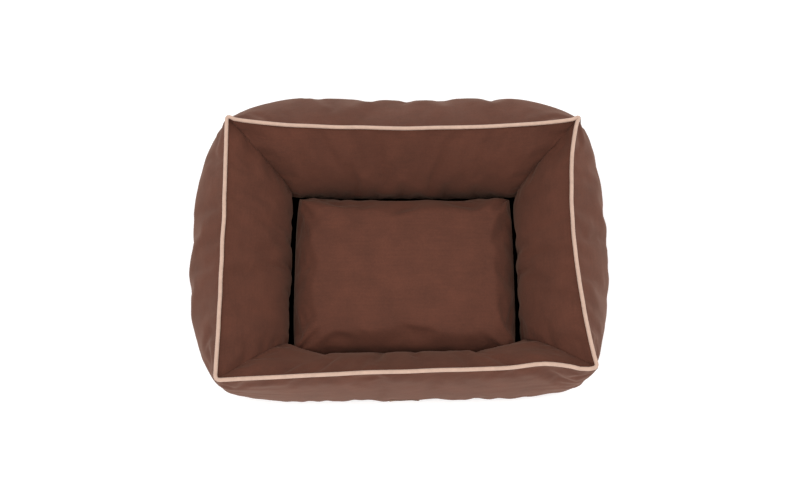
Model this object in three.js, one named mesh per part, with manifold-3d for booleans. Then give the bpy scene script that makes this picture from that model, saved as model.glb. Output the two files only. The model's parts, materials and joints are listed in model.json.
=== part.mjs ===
// A rectangular pet bed: a flat padded base, a ring of four stuffed walls piped along the top, and a
// loose zipped cushion that lies in the well between them. Millimetres, +Z up. +X is the bed's right
// and +Y its back. The bed stands on z = 0 with its outline centred on the origin.

import * as THREE from 'three';
import { mergeVertices } from 'three/addons/utils/BufferGeometryUtils.js';
import Module from 'manifold-3d';

const wasm = await Module();
wasm.setup();

// Overall: the rectangle through the four corners of the piping, and the height of those corners.
const RIDGE_LENGTH = 500;
const RIDGE_DEPTH = 371;
const WALL_HEIGHT = 172;

// Each wall's shape, as distances out from its side of the ridge rectangle. `bow` pulls the middle of
// the ridge inward and `dip` lowers it. `base` is where the outer panel meets the base and `well`
// how far in the inner panel meets the floor. `outer` and `inner` are how far the two panels are
// stuffed out beyond a straight line from top to bottom. `flat` is the share of the wall's length
// over which the stuffing is even.
const BACK = {
  name: 'back', normal: [0, 1], along: [1, 0], bow: 15, dip: 6, flat: 0.62,
  base: { middle: 44, corner: 37 }, outer: { middle: 45, corner: 3 },
  well: { middle: 67, corner: 61 }, inner: { middle: 28, corner: 31 },
};
const FRONT = {
  name: 'front', normal: [0, -1], along: [-1, 0], bow: 7, dip: 22, flat: 0.6,
  base: { middle: 3, corner: -3 }, outer: { middle: 25, corner: 2 },
  well: { middle: 39, corner: 51 }, inner: { middle: 16, corner: 23 },
};
const SIDE = {
  bow: 9, dip: 6, flat: 0.15,
  base: { middle: 35, corner: 25 }, outer: { middle: 41, corner: 5 },
  well: { middle: 72, corner: 66 }, inner: { middle: 34, corner: 34 },
};
const RIGHT = { ...SIDE, name: 'right', normal: [1, 0], along: [0, -1] };
const LEFT = { ...SIDE, name: 'left', normal: [-1, 0], along: [0, 1] };
const WALLS = [BACK, RIGHT, FRONT, LEFT];
const BULGE_SKEW = 0.85; // under 1 puts the fullest part of a wall below its mid height
const BULGE_FALL = 2.2; // how the stuffing falls away toward the corner seams

// Layers and clearances.
const GAP = 0.3; // between faces that touch
const SEAM_GAP = 0.2; // from each panel to the corner seam
const PANEL_THICKNESS = 1.4;
const BASE_PANEL_THICKNESS = 2;
const BASE_PAD_THICKNESS = 6;
const BASE_PAD_INSET = 3.5; // from the cover's outer face, which leans in at the corners
const FLOOR_PANEL_THICKNESS = 1.4;

// Piping: a bias tape round a cord, with its flange sewn between the inner and outer panels.
const PIPING_RADIUS = 2.75;
const PIPING_WALL = 1;
const CORD_RADIUS = 1.3;
const PIPING_CORNER_RADIUS = 8;
const FLANGE_THICKNESS = 1;
const FLANGE_DEPTH = 8;
const FLANGE_CLEARANCE = 2.5; // from the flange down to the walls' filling
const FLANGE_SEWN_IN = 0.6; // how far the flange runs into the wall of the tape's tube
const LAP_GAP = 0.5; // between the two ends of the tape

// Cushion.
const CUSHION_CLEARANCE = 2.5;
const CUSHION_THICKNESS = 78;
const CUSHION_SEAM_HEIGHT = 26; // above the cushion's underside
const CUSHION_SKIN = 1.2;
const CUSHION_FILL_CLEARANCE = 1.6; // between the cloth and the filling
const CUSHION_CORNER_PULL = 0.09; // share by which the corners are drawn in
const CUSHION_SIDE_HEIGHT = 2; // straight part of the filling at the seam

// Zips. A zip lies along X with its teeth facing +Y, its tapes above and below.
const COVER_ZIP_LENGTH = 220;
const COVER_ZIP_HEIGHT = 21; // of the teeth above the floor
const CUSHION_ZIP_LENGTH = 150;
const ZIP_TAPE_WIDTH = 7.2;
const ZIP_TAPE_THICKNESS = 0.8;
const TOOTH_ROW_WIDTH = 1.35;
const TOOTH_ROW_RISE = 1;
const STOP_LENGTH = 2;
const SLIDER_LENGTH = 9;
const SLIDER_WIDTH = 6.4;
const SLIDER_PLATE = 1;
const BAIL_LENGTH = 6.2;
const BAIL_WIDTH = 1.6;
const BAIL_BAR = 0.8;
const BAIL_OPENING = 1.6; // between the slider's plate and the bar of the bail
const PULL_LENGTH = 24;
const PULL_WIDTH = 5;
const PULL_ARM = 0.9;
const PULL_THICKNESS = 1;

// Labels, sewn flat on the outer panels.
const ZIP_CLEARANCE = 1.5; // between the back's outer cloth and what lies along it
const LABEL_THICKNESS = 0.6;
const FRONT_LABEL = { width: 44, bottom: 10, top: 25 };
const CARE_LABEL = { width: 27, fromMiddle: 140 };

// Mesh fineness.
const LEVELS = 8;
const LENGTH_STEPS = 12;
const END_CROWDING = 0.08;
const CORNER_STEPS = 3;
const CUSHION_STEPS_X = 14;
const CUSHION_STEPS_Y = 12;

const COLOURS = {
  suede: ['#633e31', 0.92, 0],
  lining: ['#4b332b', 0.9, 0],
  underside: ['#2d2624', 0.95, 0],
  wadding: ['#efece4', 1, 0],
  tape: ['#c8aa99', 0.85, 0],
  cord: ['#e9e4d8', 0.9, 0],
  zipTape: ['#49302a', 0.9, 0],
  zipTeeth: ['#3a2620', 0.45, 0],
  nickel: ['#8f8a82', 0.35, 1],
  label: ['#8d6c52', 0.8, 0],
  careLabel: ['#f1efe9', 0.6, 0],
};

const SEAM_Z = BASE_PANEL_THICKNESS + GAP;
const PAD_TOP = SEAM_Z + BASE_PAD_THICKNESS;
const FLOOR_Z = PAD_TOP + GAP;
const PANEL_TOP = WALL_HEIGHT - 2 * PIPING_RADIUS - GAP;
const SEAM_HALF = FLANGE_THICKNESS / 2 + GAP + PANEL_THICKNESS;
const ZIP_HALF_WIDTH = TOOTH_ROW_WIDTH + 1.5 * GAP + ZIP_TAPE_WIDTH;
const ZIP_RISE = TOOTH_ROW_RISE + GAP + SLIDER_PLATE + BAIL_OPENING + BAIL_BAR;

// ---- Small helpers ----

const mix = (a, b, t) => a + (b - a) * t;

function mesh(name, geometry, look) {
  const [color, roughness, metalness] = COLOURS[look];
  const result = new THREE.Mesh(geometry, new THREE.MeshStandardMaterial({ color, roughness, metalness }));
  result.name = name;
  return result;
}

/**
 * A box split into a grid, each point moved to place(x, y, z), where x, y and z run from 0 to 1.
 * Two solids that face each other across a gap stay parallel when only one of them splits its
 * quads on the other diagonal.
 */
function gridSolid(stepsX, stepsY, stepsZ, place, otherDiagonal = false) {
  const box = new THREE.BoxGeometry(1, 1, 1, stepsX, stepsY, stepsZ);
  box.deleteAttribute('normal');
  box.deleteAttribute('uv');
  const solid = mergeVertices(box);
  const points = solid.attributes.position;
  for (let i = 0; i < points.count; i += 1) {
    const moved = place(points.getX(i) + 0.5, points.getY(i) + 0.5, points.getZ(i) + 0.5);
    points.setXYZ(i, ...moved);
  }
  for (let i = 0; otherDiagonal && i < solid.index.count; i += 6) {
    solid.index.setX(i + 2, solid.index.getX(i + 4));
    solid.index.setX(i + 3, solid.index.getX(i));
  }
  solid.computeVertexNormals();
  return solid;
}

/** A plain box between two corners. */
function block(low, high) {
  const size = high.map((value, axis) => value - low[axis]);
  const middle = high.map((value, axis) => (value + low[axis]) / 2);
  return new THREE.BoxGeometry(...size).translate(...middle);
}

function toManifold(geometry) {
  const bare = geometry.clone();
  bare.deleteAttribute('normal');
  bare.deleteAttribute('uv');
  const merged = mergeVertices(bare);
  return new wasm.Manifold(new wasm.Mesh({
    numProp: 3,
    vertProperties: new Float32Array(merged.attributes.position.array),
    triVerts: new Uint32Array(merged.index.array),
  }));
}

function fromManifold(solid) {
  const { vertProperties, triVerts } = solid.getMesh();
  const geometry = new THREE.BufferGeometry();
  geometry.setAttribute('position', new THREE.BufferAttribute(new Float32Array(vertProperties), 3));
  geometry.setIndex(new THREE.BufferAttribute(new Uint32Array(triVerts), 1));
  geometry.computeVertexNormals();
  return geometry;
}

const join = (parts) => fromManifold(parts.map(toManifold).reduce((whole, part) => whole.add(part)));
const cut = (body, tool) => fromManifold(toManifold(body).subtract(toManifold(tool)));

// ---- The shape of the walls ----

const ridgeCorner = (wall) => (wall.normal[0] === 0 ? RIDGE_DEPTH : RIDGE_LENGTH) / 2;
const arch = (u) => 4 * u * (1 - u);
const ridgeAt = (wall, u) => ridgeCorner(wall) - wall.bow * arch(u);
const panelTopAt = (wall, u) => PANEL_TOP - wall.dip * arch(u);

/** How full the stuffing is along a wall: 1 over the even middle, 0 at the corner seams. */
function fullness(wall, u) {
  const fromMiddle = Math.abs(2 * u - 1);
  const past = Math.max(0, fromMiddle - wall.flat) / (1 - wall.flat);
  return 1 - past ** BULGE_FALL;
}

const bulge = (h) => Math.sin(Math.PI * Math.min(1, Math.max(0, h)) ** BULGE_SKEW);
const along = (value, wall, u) => mix(value.corner, value.middle, fullness(wall, u));

/** Distance from the bed's middle out to the wall's outer face, at a share h of its height. */
function outerFace(wall, u, h) {
  const bottom = ridgeCorner(wall) + along(wall.base, wall, u);
  return mix(bottom, ridgeAt(wall, u) + SEAM_HALF, h) + along(wall.outer, wall, u) * bulge(h);
}

/** Distance from the bed's middle out to the wall's face in the well. */
function innerFace(wall, u, h) {
  const bottom = ridgeCorner(wall) - along(wall.well, wall, u);
  return mix(bottom, ridgeAt(wall, u) - SEAM_HALF, h) - along(wall.inner, wall, u) * bulge(h);
}

/** A point of a wall: u along it, z up, and `depth` behind its outer or inner face. */
function wallPoint(wall, u, z, face, depth) {
  const h = (z - SEAM_Z) / (panelTopAt(wall, u) - SEAM_Z);
  const reach = (side, at) => (face === 'outer'
    ? outerFace(side, at, h) - depth
    : innerFace(side, at, h) + depth);
  const index = WALLS.indexOf(wall);
  const before = reach(WALLS[(index + 3) % 4], 1) - SEAM_GAP;
  const after = reach(WALLS[(index + 1) % 4], 0) - SEAM_GAP;
  const out = reach(wall, u);
  const run = mix(-before, after, u);
  return [
    wall.normal[0] * out + wall.along[0] * run,
    wall.normal[1] * out + wall.along[1] * run,
    z,
  ];
}

const isOdd = (wall) => WALLS.indexOf(wall) % 2 === 1;

/** Places along a wall, closer together near its ends. */
const stepAlong = (t) => t - END_CROWDING * Math.sin(2 * Math.PI * t);

/** Heights shared by everything in a wall, so that the layers' facets lie parallel. */
function levelAt(wall, u, level) {
  const stuffingTop = panelTopAt(wall, u) - FLANGE_DEPTH - FLANGE_CLEARANCE;
  if (level === 0) return SEAM_Z;
  if (level === LEVELS) return panelTopAt(wall, u);
  return mix(FLOOR_Z, stuffingTop, (level - 1) / (LEVELS - 2));
}

/** The lowest reach of a wall into the well, which bounds the cushion. */
function wellReach(wall) {
  const heights = Array.from({ length: 101 }, (_, i) => i / 100);
  return Math.min(...heights.map((h) => innerFace(wall, 0.5, h)));
}

// ---- Base ----

/** A flat sheet that follows a loop round the bed. */
function sheetOnLoop(bottom, thickness, pointAt) {
  const outline = WALLS.flatMap((wall) => Array.from({ length: LENGTH_STEPS }, (_, i) => {
    const [x, y] = pointAt(wall, stepAlong(i / LENGTH_STEPS));
    return new THREE.Vector2(x, y);
  }));
  const geometry = new THREE.ExtrudeGeometry(new THREE.Shape(outline), { depth: thickness, bevelEnabled: false });
  return geometry.translate(0, 0, bottom);
}

function basePanel() {
  const edge = (wall, u) => wallPoint(wall, u, SEAM_Z, 'outer', 0);
  return mesh('base_panel', sheetOnLoop(0, BASE_PANEL_THICKNESS, edge), 'underside');
}

function basePad() {
  const edge = (wall, u) => wallPoint(wall, u, SEAM_Z, 'outer', BASE_PAD_INSET);
  return mesh('base_pad', sheetOnLoop(SEAM_Z, BASE_PAD_THICKNESS, edge), 'wadding');
}

function floorPanel() {
  const edge = (wall, u) => wallPoint(wall, u, FLOOR_Z + FLOOR_PANEL_THICKNESS, 'inner', -GAP);
  return mesh('floor_panel', sheetOnLoop(FLOOR_Z, FLOOR_PANEL_THICKNESS, edge), 'lining');
}

// ---- Walls ----

function wallFilling(wall) {
  const geometry = gridSolid(1, LEVELS - 2, LENGTH_STEPS, (x, y, t) => {
    const u = stepAlong(t);
    const level = 1 + Math.round(y * (LEVELS - 2));
    const behindZip = wall === BACK && x > 0.5 ? ZIP_CLEARANCE : 0;
    const depth = PANEL_THICKNESS + GAP + behindZip;
    return wallPoint(wall, u, levelAt(wall, u, level), x > 0.5 ? 'outer' : 'inner', depth);
  }, isOdd(wall));
  return mesh(`wall_fill_${wall.name}`, geometry, 'wadding');
}

/** A panel of cloth on one face of a wall, between two of its levels. */
function wallPanel(wall, face, lowest, highest = LEVELS, heightAt = levelAt) {
  const steps = highest - lowest;
  return gridSolid(1, steps, LENGTH_STEPS, (x, y, t) => {
    const u = stepAlong(t);
    const level = lowest + Math.round(y * steps);
    const depth = PANEL_THICKNESS * (face === 'outer' ? 1 - x : x);
    return wallPoint(wall, u, heightAt(wall, u, level, t), face, depth);
  }, !isOdd(wall));
}

/** How far the back panel leans outward at the cover zip. */
function coverZipLean() {
  const above = wallPoint(BACK, 0.5, COVER_ZIP_HEIGHT + 1, 'outer', GAP);
  const below = wallPoint(BACK, 0.5, COVER_ZIP_HEIGHT - 1, 'outer', GAP);
  return Math.atan2(above[1] - below[1], above[2] - below[2]);
}

/** Half the height of the opening for the cover zip, which tapers to a seam past the zip's ends. */
function coverZipOpening(t) {
  const inward = t + Math.sign(Math.round((0.5 - t) * LENGTH_STEPS)) / LENGTH_STEPS;
  const reach = COVER_ZIP_LENGTH / 2 + STOP_LENGTH + 2 * GAP;
  const x = wallPoint(BACK, stepAlong(inward), COVER_ZIP_HEIGHT, 'outer', 0)[0];
  if (Math.abs(x) > reach) return GAP / 2;
  const lean = coverZipLean();
  return (ZIP_HALF_WIDTH + 2 * GAP) * Math.cos(lean) + 2 * PANEL_THICKNESS * Math.abs(Math.sin(lean));
}

/** The back's outer cloth is two pieces, a panel and a band below it, that the zip joins. */
function backCloth() {
  const panelEdge = (wall, u, level, t) => (
    level === 1 ? COVER_ZIP_HEIGHT + coverZipOpening(t) : levelAt(wall, u, level));
  const bandEdge = (wall, u, level, t) => (
    level === 2 ? COVER_ZIP_HEIGHT - coverZipOpening(t) : levelAt(wall, u, level));
  return [
    mesh('outer_panel_back', wallPanel(BACK, 'outer', 1, LEVELS, panelEdge), 'suede'),
    mesh('outer_band_back', wallPanel(BACK, 'outer', 0, 2, bandEdge), 'suede'),
  ];
}

function outerCloth(wall) {
  if (wall === BACK) return backCloth();
  return [mesh(`outer_panel_${wall.name}`, wallPanel(wall, 'outer', 0), 'suede')];
}

function innerPanel(wall) {
  return mesh(`inner_panel_${wall.name}`, wallPanel(wall, 'inner', 1), 'suede');
}

/** A label over the outer face of a wall, between two places along it and two heights. */
function wallLabel(wall, from, to, bottom, top, clearance) {
  return gridSolid(1, 1, 1, (x, y, t) => {
    const depth = -clearance - LABEL_THICKNESS * x;
    return wallPoint(wall, mix(from, to, t), mix(bottom, top, y), 'outer', depth);
  });
}

/** A wall's length at a height on its outer face. */
function lengthAt(wall, z) {
  const from = wallPoint(wall, 0, z, 'outer', 0);
  const to = wallPoint(wall, 1, z, 'outer', 0);
  return Math.hypot(to[0] - from[0], to[1] - from[1]);
}

function frontLabel() {
  const half = FRONT_LABEL.width / 2 / lengthAt(FRONT, FRONT_LABEL.bottom);
  const geometry = wallLabel(FRONT, 0.5 - half, 0.5 + half, FRONT_LABEL.bottom, FRONT_LABEL.top, GAP);
  return mesh('front_label', geometry, 'label');
}

function careLabel() {
  const length = lengthAt(BACK, FLOOR_Z);
  const from = 0.5 + CARE_LABEL.fromMiddle / length;
  const to = from + CARE_LABEL.width / length;
  const top = levelAt(BACK, from, 2);
  return mesh('care_label', wallLabel(BACK, from, to, FLOOR_Z, top, ZIP_CLEARANCE), 'careLabel');
}

// ---- Piping ----

/** A path through given points, sampled only at those points. */
class PointPath extends THREE.Curve {
  constructor(points) {
    super();
    this.points = points;
  }

  getPointAt(t) {
    return this.points[Math.round(t * (this.points.length - 1))].clone();
  }

  getTangentAt(t) {
    const last = this.points.length - 1;
    const i = Math.round(t * last);
    const towards = (a, b) => this.points[b].clone().sub(this.points[a]).normalize();
    const after = towards(Math.min(i, last - 1), Math.min(i, last - 1) + 1);
    const before = towards(Math.max(i, 1) - 1, Math.max(i, 1));
    return after.add(before).normalize();
  }
}

/** The middle of the piping over a wall, on the line where its two panels meet. */
function ridgePoint(wall, u) {
  const out = ridgeAt(wall, u);
  const index = WALLS.indexOf(wall);
  const run = mix(-ridgeCorner(WALLS[(index + 3) % 4]), ridgeCorner(WALLS[(index + 1) % 4]), u);
  return new THREE.Vector3(
    wall.normal[0] * out + wall.along[0] * run,
    wall.normal[1] * out + wall.along[1] * run,
    panelTopAt(wall, u) + GAP + PIPING_RADIUS,
  );
}

/** A short rounded turn from the end of one wall's ridge to the start of the next. */
function cornerTurn(wall, next) {
  const corner = ridgePoint(wall, 1);
  const step = (from) => from.clone().sub(corner).normalize().multiplyScalar(PIPING_CORNER_RADIUS).add(corner);
  const start = step(ridgePoint(wall, stepAlong(1 - 1 / LENGTH_STEPS)));
  const end = step(ridgePoint(next, stepAlong(1 / LENGTH_STEPS)));
  return new THREE.QuadraticBezierCurve3(start, corner, end).getPoints(CORNER_STEPS);
}

function pipingPath() {
  const inner = (wall) => Array.from({ length: LENGTH_STEPS - 1 }, (_, i) => (
    ridgePoint(wall, stepAlong((i + 1) / LENGTH_STEPS))));
  const round = WALLS.flatMap((wall, i) => [...inner(wall), ...cornerTurn(wall, WALLS[(i + 1) % 4])]);
  const middle = LENGTH_STEPS / 2 - 1;
  const ring = [...round.slice(middle), ...round.slice(0, middle + 1)];
  const nudge = new THREE.Vector3(LAP_GAP / 2, 0, 0);
  ring[0] = ring[0].clone().add(nudge);
  ring[ring.length - 1] = ring[ring.length - 1].clone().sub(nudge);
  return new PointPath(ring);
}

function polygon(sides, radius) {
  return Array.from({ length: sides }, (_, i) => {
    const angle = ((i + 0.5) / sides) * 2 * Math.PI;
    return new THREE.Vector2(radius * Math.cos(angle), radius * Math.sin(angle));
  });
}

function sweep(shape) {
  const path = pipingPath();
  return new THREE.ExtrudeGeometry(shape, { extrudePath: path, steps: path.points.length - 1 });
}

/** The flange along one wall, stopping short of the corners, where it's snipped. */
function pipingFlange(wall) {
  return gridSolid(1, 1, LENGTH_STEPS - 2, (x, y, t) => {
    const u = stepAlong((1 + Math.round(t * (LENGTH_STEPS - 2))) / LENGTH_STEPS);
    const middle = ridgePoint(wall, u);
    const out = FLANGE_THICKNESS * (x - 0.5);
    const top = panelTopAt(wall, u) + GAP + FLANGE_SEWN_IN;
    const bottom = panelTopAt(wall, u) - FLANGE_DEPTH;
    return [middle.x + wall.normal[0] * out, middle.y + wall.normal[1] * out, mix(bottom, top, y)];
  });
}

function pipingSleeve() {
  const section = new THREE.Shape(polygon(8, PIPING_RADIUS));
  section.holes.push(new THREE.Path(polygon(8, PIPING_RADIUS - PIPING_WALL)));
  const geometry = join([sweep(section), ...WALLS.map(pipingFlange)]);
  return mesh('piping_sleeve', geometry, 'tape');
}

function pipingCord() {
  return mesh('piping_cord', sweep(new THREE.Shape(polygon(6, CORD_RADIUS))), 'cord');
}

// ---- Zips ----

/** The two tapes, the two rows of teeth and the two stops of a zip, centred on its own origin. */
function zipTrack(name, length) {
  const group = new THREE.Group();
  const rowFrom = GAP / 2;
  const rowTo = rowFrom + TOOTH_ROW_WIDTH;
  const tapeFrom = rowTo + GAP;
  const tapeLength = length / 2 + STOP_LENGTH + GAP;
  [['upper', 1], ['lower', -1]].forEach(([side, sign]) => {
    const strip = (halfLength, yLow, yHigh, zNear, zFar) => block(
      [-halfLength, yLow, Math.min(sign * zNear, sign * zFar)],
      [halfLength, yHigh, Math.max(sign * zNear, sign * zFar)],
    );
    const tape = strip(tapeLength, -ZIP_TAPE_THICKNESS, 0, tapeFrom, tapeFrom + ZIP_TAPE_WIDTH);
    const teeth = strip(length / 2, -ZIP_TAPE_THICKNESS, TOOTH_ROW_RISE, rowFrom, rowTo);
    group.add(mesh(`${name}_tape_${side}`, tape, 'zipTape'));
    group.add(mesh(`${name}_teeth_${side}`, teeth, 'zipTeeth'));
  });
  [['left', -1], ['right', 1]].forEach(([side, sign]) => {
    const middle = sign * (length / 2 + GAP + STOP_LENGTH / 2);
    const stop = block(
      [middle - STOP_LENGTH / 2, -ZIP_TAPE_THICKNESS, -rowTo],
      [middle + STOP_LENGTH / 2, TOOTH_ROW_RISE, rowTo],
    );
    group.add(mesh(`${name}_stop_${side}`, stop, 'nickel'));
  });
  return group;
}

/** The slider's plate and the lips that run beside the teeth, with a bail for a pull if it has one. */
function zipSlider(name, hasBail) {
  const plateLow = TOOTH_ROW_RISE + GAP;
  const plateHigh = plateLow + SLIDER_PLATE;
  const lipFrom = TOOTH_ROW_WIDTH + 2 * GAP;
  const halfLength = SLIDER_LENGTH / 2;
  const halfWidth = SLIDER_WIDTH / 2;
  const parts = [
    block([-halfLength, plateLow, -halfWidth], [halfLength, plateHigh, halfWidth]),
    block([-halfLength, GAP, lipFrom], [halfLength, plateLow, halfWidth]),
    block([-halfLength, GAP, -halfWidth], [halfLength, plateLow, -lipFrom]),
  ];
  if (hasBail) {
    const barLow = plateHigh + BAIL_OPENING;
    const half = BAIL_LENGTH / 2;
    const side = BAIL_WIDTH / 2;
    parts.push(
      block([-half, plateHigh, -side], [-half + BAIL_BAR, barLow, side]),
      block([half - BAIL_BAR, plateHigh, -side], [half, barLow, side]),
      block([-half, barLow, -side], [half, barLow + BAIL_BAR, side]),
    );
  }
  return mesh(`${name}_slider`, join(parts), 'nickel');
}

/** The pull: a crossbar under the bail, two arms and a rounded tab, lying along +X. */
function zipPull(name) {
  const axisY = TOOTH_ROW_RISE + GAP + SLIDER_PLATE + BAIL_OPENING / 2;
  const half = PULL_WIDTH / 2;
  const low = axisY - PULL_THICKNESS / 2;
  const high = axisY + PULL_THICKNESS / 2;
  const armInner = half - PULL_ARM;
  const tabFrom = BAIL_LENGTH;
  const crossbar = new THREE.CylinderGeometry(PULL_THICKNESS / 2, PULL_THICKNESS / 2, PULL_WIDTH, 12);
  const tabEnd = new THREE.CylinderGeometry(half, half, PULL_THICKNESS, 24);
  const parts = [
    crossbar.rotateX(Math.PI / 2).translate(0, axisY, 0),
    block([0, low, armInner], [tabFrom + PULL_ARM, high, half]),
    block([0, low, -half], [tabFrom + PULL_ARM, high, -armInner]),
    block([tabFrom, low, -half], [PULL_LENGTH - half, high, half]),
    tabEnd.translate(PULL_LENGTH - half, axisY, 0),
  ];
  return mesh(`${name}_pull`, join(parts), 'nickel');
}

/** Where the cover zip's own origin goes: on the back panel's outer face, turned to lie flat on it. */
function coverZipPlace() {
  const [, y, z] = wallPoint(BACK, 0.5, COVER_ZIP_HEIGHT, 'outer', GAP);
  const turn = new THREE.Matrix4().makeRotationX(-coverZipLean());
  return new THREE.Matrix4().makeTranslation(0, y, z).multiply(turn);
}

function coverZip() {
  const name = 'cover_zip';
  const group = new THREE.Group();
  const runner = new THREE.Group();
  runner.add(zipSlider(name, true), zipPull(name));
  runner.position.x = -COVER_ZIP_LENGTH / 2 + SLIDER_LENGTH / 2 + GAP;
  group.add(zipTrack(name, COVER_ZIP_LENGTH), runner);
  group.applyMatrix4(coverZipPlace());
  return group;
}

// ---- Cushion ----

const CUSHION = {
  halfLength: wellReach(RIGHT) - CUSHION_CLEARANCE,
  back: wellReach(BACK) - CUSHION_CLEARANCE,
  front: -(wellReach(FRONT) - CUSHION_CLEARANCE),
  bottom: FLOOR_Z + FLOOR_PANEL_THICKNESS + GAP,
};
CUSHION.halfDepth = (CUSHION.back - CUSHION.front) / 2;
CUSHION.middle = (CUSHION.back + CUSHION.front) / 2;
CUSHION.seam = CUSHION.bottom + CUSHION_SEAM_HEIGHT;

/** Places across the cushion, closer together near its edges. */
const spread = (t) => Math.sin((t - 0.5) * Math.PI);
const topSwell = (t) => (1 - t ** 4) ** 0.42;
const bottomSwell = (t) => (1 - t ** 8) ** 0.5;

/** A point on a layer of the cushion, inset all round; rise is its start above or below the seam. */
function cushionPoint(x, y, inset, rise) {
  const top = CUSHION_THICKNESS - CUSHION_SEAM_HEIGHT - inset;
  const bottom = CUSHION_SEAM_HEIGHT - inset;
  const swell = rise > 0 ? topSwell : bottomSwell;
  const height = (rise > 0 ? top : -bottom) - rise;
  return [
    (CUSHION.halfLength - inset) * x * (1 - CUSHION_CORNER_PULL * y ** 4),
    CUSHION.middle + (CUSHION.halfDepth - inset) * y * (1 - CUSHION_CORNER_PULL * x ** 4),
    CUSHION.seam + rise + height * swell(x) * swell(y),
  ];
}

function cushionGrid(insetAndRise, otherDiagonal) {
  return gridSolid(CUSHION_STEPS_X, 1, CUSHION_STEPS_Y, (x, layer, y) => (
    cushionPoint(spread(x), -spread(y), ...insetAndRise(layer > 0.5))), otherDiagonal);
}

/** The slot along the cushion's back edge that the zip lies in. */
function cushionZipSlot() {
  const halfLength = CUSHION_ZIP_LENGTH / 2 + STOP_LENGTH + 2 * GAP;
  const halfWidth = ZIP_HALF_WIDTH + GAP;
  const floor = cushionZipY() - ZIP_TAPE_THICKNESS - GAP;
  const { seam, back } = CUSHION;
  return block([-halfLength, floor, seam - halfWidth], [halfLength, back + 1, seam + halfWidth]);
}

const cushionZipY = () => CUSHION.back - ZIP_RISE + BAIL_BAR;

function cushionPieces() {
  const rim = GAP / 2;
  const slot = cushionZipSlot();
  const top = cushionGrid((upper) => (upper ? [0, rim] : [CUSHION_SKIN, rim]), true);
  const bottom = cushionGrid((upper) => (upper ? [CUSHION_SKIN, -rim] : [0, -rim]), true);
  const side = CUSHION_SIDE_HEIGHT / 2;
  const fillInset = CUSHION_SKIN + CUSHION_FILL_CLEARANCE;
  const filling = cushionGrid((upper) => [fillInset, upper ? side : -side], false);
  return [
    mesh('cushion_top_panel', cut(top, slot), 'suede'),
    mesh('cushion_bottom_panel', cut(bottom, slot), 'suede'),
    mesh('cushion_fill', cut(filling, slot), 'wadding'),
  ];
}

function cushionZip() {
  const name = 'cushion_zip';
  const slider = zipSlider(name, false);
  slider.position.x = CUSHION_ZIP_LENGTH / 2 - SLIDER_LENGTH / 2 - GAP;
  const group = new THREE.Group();
  group.add(zipTrack(name, CUSHION_ZIP_LENGTH), slider);
  group.position.set(0, cushionZipY(), CUSHION.seam);
  return group;
}

// ---- The bed ----

const bed = new THREE.Group();
bed.add(basePanel(), basePad(), floorPanel());
bed.add(...WALLS.map(wallFilling), ...WALLS.flatMap(outerCloth), ...WALLS.map(innerPanel));
bed.add(pipingSleeve(), pipingCord(), frontLabel(), careLabel());
bed.add(...cushionPieces(), cushionZip(), coverZip());

const outline = new THREE.Box3().setFromObject(bed);
bed.position.y = -(outline.min.y + outline.max.y) / 2;

export default bed;
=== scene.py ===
"""A stuffed pet bed with a piped top edge and a loose zipped cushion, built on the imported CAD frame."""

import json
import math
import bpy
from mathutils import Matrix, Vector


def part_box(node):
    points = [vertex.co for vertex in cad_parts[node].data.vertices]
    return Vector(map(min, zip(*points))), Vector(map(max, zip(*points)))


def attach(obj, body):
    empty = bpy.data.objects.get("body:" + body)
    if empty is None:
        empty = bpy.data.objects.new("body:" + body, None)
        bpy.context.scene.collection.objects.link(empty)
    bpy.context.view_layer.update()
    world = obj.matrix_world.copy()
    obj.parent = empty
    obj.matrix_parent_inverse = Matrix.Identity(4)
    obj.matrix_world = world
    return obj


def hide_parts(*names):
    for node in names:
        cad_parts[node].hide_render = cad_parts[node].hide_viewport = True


bl_info = {
    "name": "Pet Cushion Bed",
    "version": (1, 0, 0),
    "blender": (4, 5, 0),
    "location": "3D View > Sidebar > Pet Bed",
    "description": "Builds the soft pieces, zips, labels and studio of a rectangular pet bed",
    "category": "Add Mesh",
}

import bmesh
import bpy
from bpy.props import FloatProperty, FloatVectorProperty, PointerProperty
from mathutils import Vector, noise
from mathutils.bvhtree import BVHTree

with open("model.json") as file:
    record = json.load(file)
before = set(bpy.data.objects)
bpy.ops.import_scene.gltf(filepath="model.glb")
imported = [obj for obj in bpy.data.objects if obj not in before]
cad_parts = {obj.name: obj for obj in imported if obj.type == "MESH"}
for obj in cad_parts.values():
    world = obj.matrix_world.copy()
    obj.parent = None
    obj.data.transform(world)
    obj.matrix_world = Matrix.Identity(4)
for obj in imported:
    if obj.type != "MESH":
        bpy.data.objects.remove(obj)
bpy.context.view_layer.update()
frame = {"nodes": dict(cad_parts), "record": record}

MM = 0.001


# ---- Places taken from the frame ----

BOXES = {name: [tuple(corner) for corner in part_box(name)] for name in frame["nodes"]}


def low(name):
    return BOXES[name][0]


def high(name):
    return BOXES[name][1]


def middle(name):
    return [(a + b) / 2 for a, b in zip(*BOXES[name])]


TOP = high("piping_sleeve")[2]
SEAM = high("base_panel")[2]
FLOOR = high("base_pad")[2]
CUSHION_LOW = low("cushion_bottom_panel")
CUSHION_HIGH = high("cushion_top_panel")
CUSHION_SEAM = high("cushion_bottom_panel")[2]


# ---- Settings ----

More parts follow.
